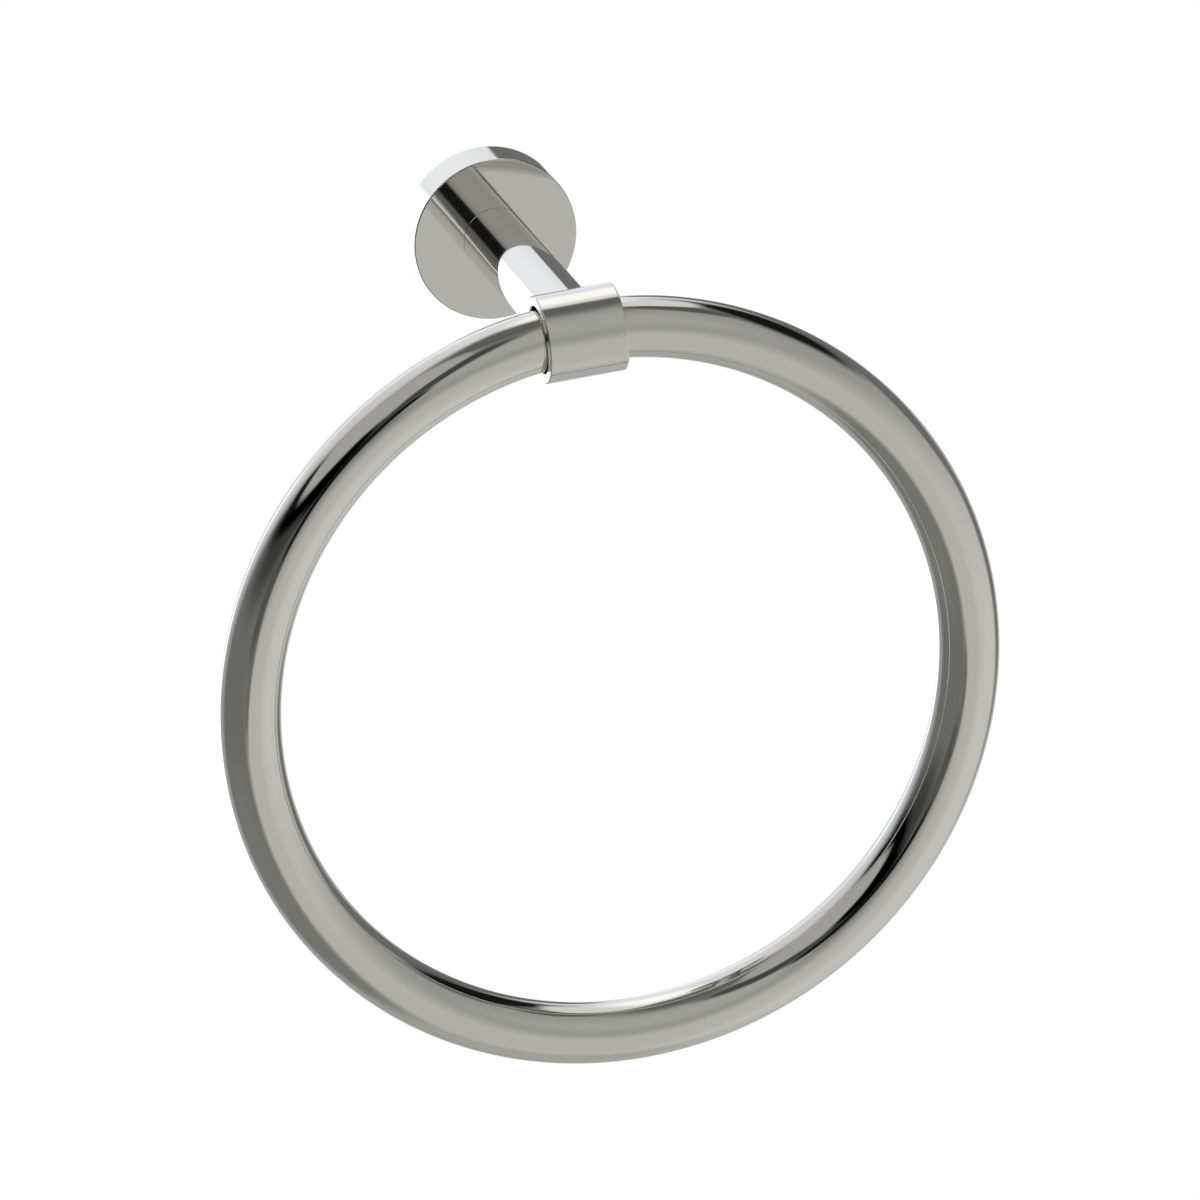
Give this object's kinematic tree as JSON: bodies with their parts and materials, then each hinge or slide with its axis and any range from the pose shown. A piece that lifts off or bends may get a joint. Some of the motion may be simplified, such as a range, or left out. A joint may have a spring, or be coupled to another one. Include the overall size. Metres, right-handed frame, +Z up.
{
  "type": "towel ring",
  "caption": "Closed round tube ring that swings in a short collar on a straight post, with a round flange over a hidden wall bracket.",
  "frame": {"origin": "centre of the flange's back, on the wall plane, midway between the bracket's two screw holes", "axes": "+Y into the wall, along the post; the ring stands off towards -Y; +Z up; X along the wall and along the collar"},
  "size_m": [0.208, 0.101, 0.2214],
  "materials": {
    "polished_nickel": "polished nickel plate on brass",
    "screw_steel": "plain stainless steel",
    "bracket_steel": "turned steel, zinc plated"
  },
  "bodies": {
    "mounting": {"wall_bracket": "bracket_steel", "flange": "polished_nickel", "flange_set_screw": "screw_steel", "post": "polished_nickel", "post_screw": "screw_steel", "collar": "polished_nickel", "collar_screw": "screw_steel"},
    "swing_ring": {"ring": "polished_nickel"}
  },
  "joints": [
    {"name": "ring_swing", "type": "hinge", "parent": "mounting", "child": "swing_ring", "pos_m": [0, -0.0895, 0], "axis": [-1, 0, 0], "range_deg": [-25, 205]}
  ]
}
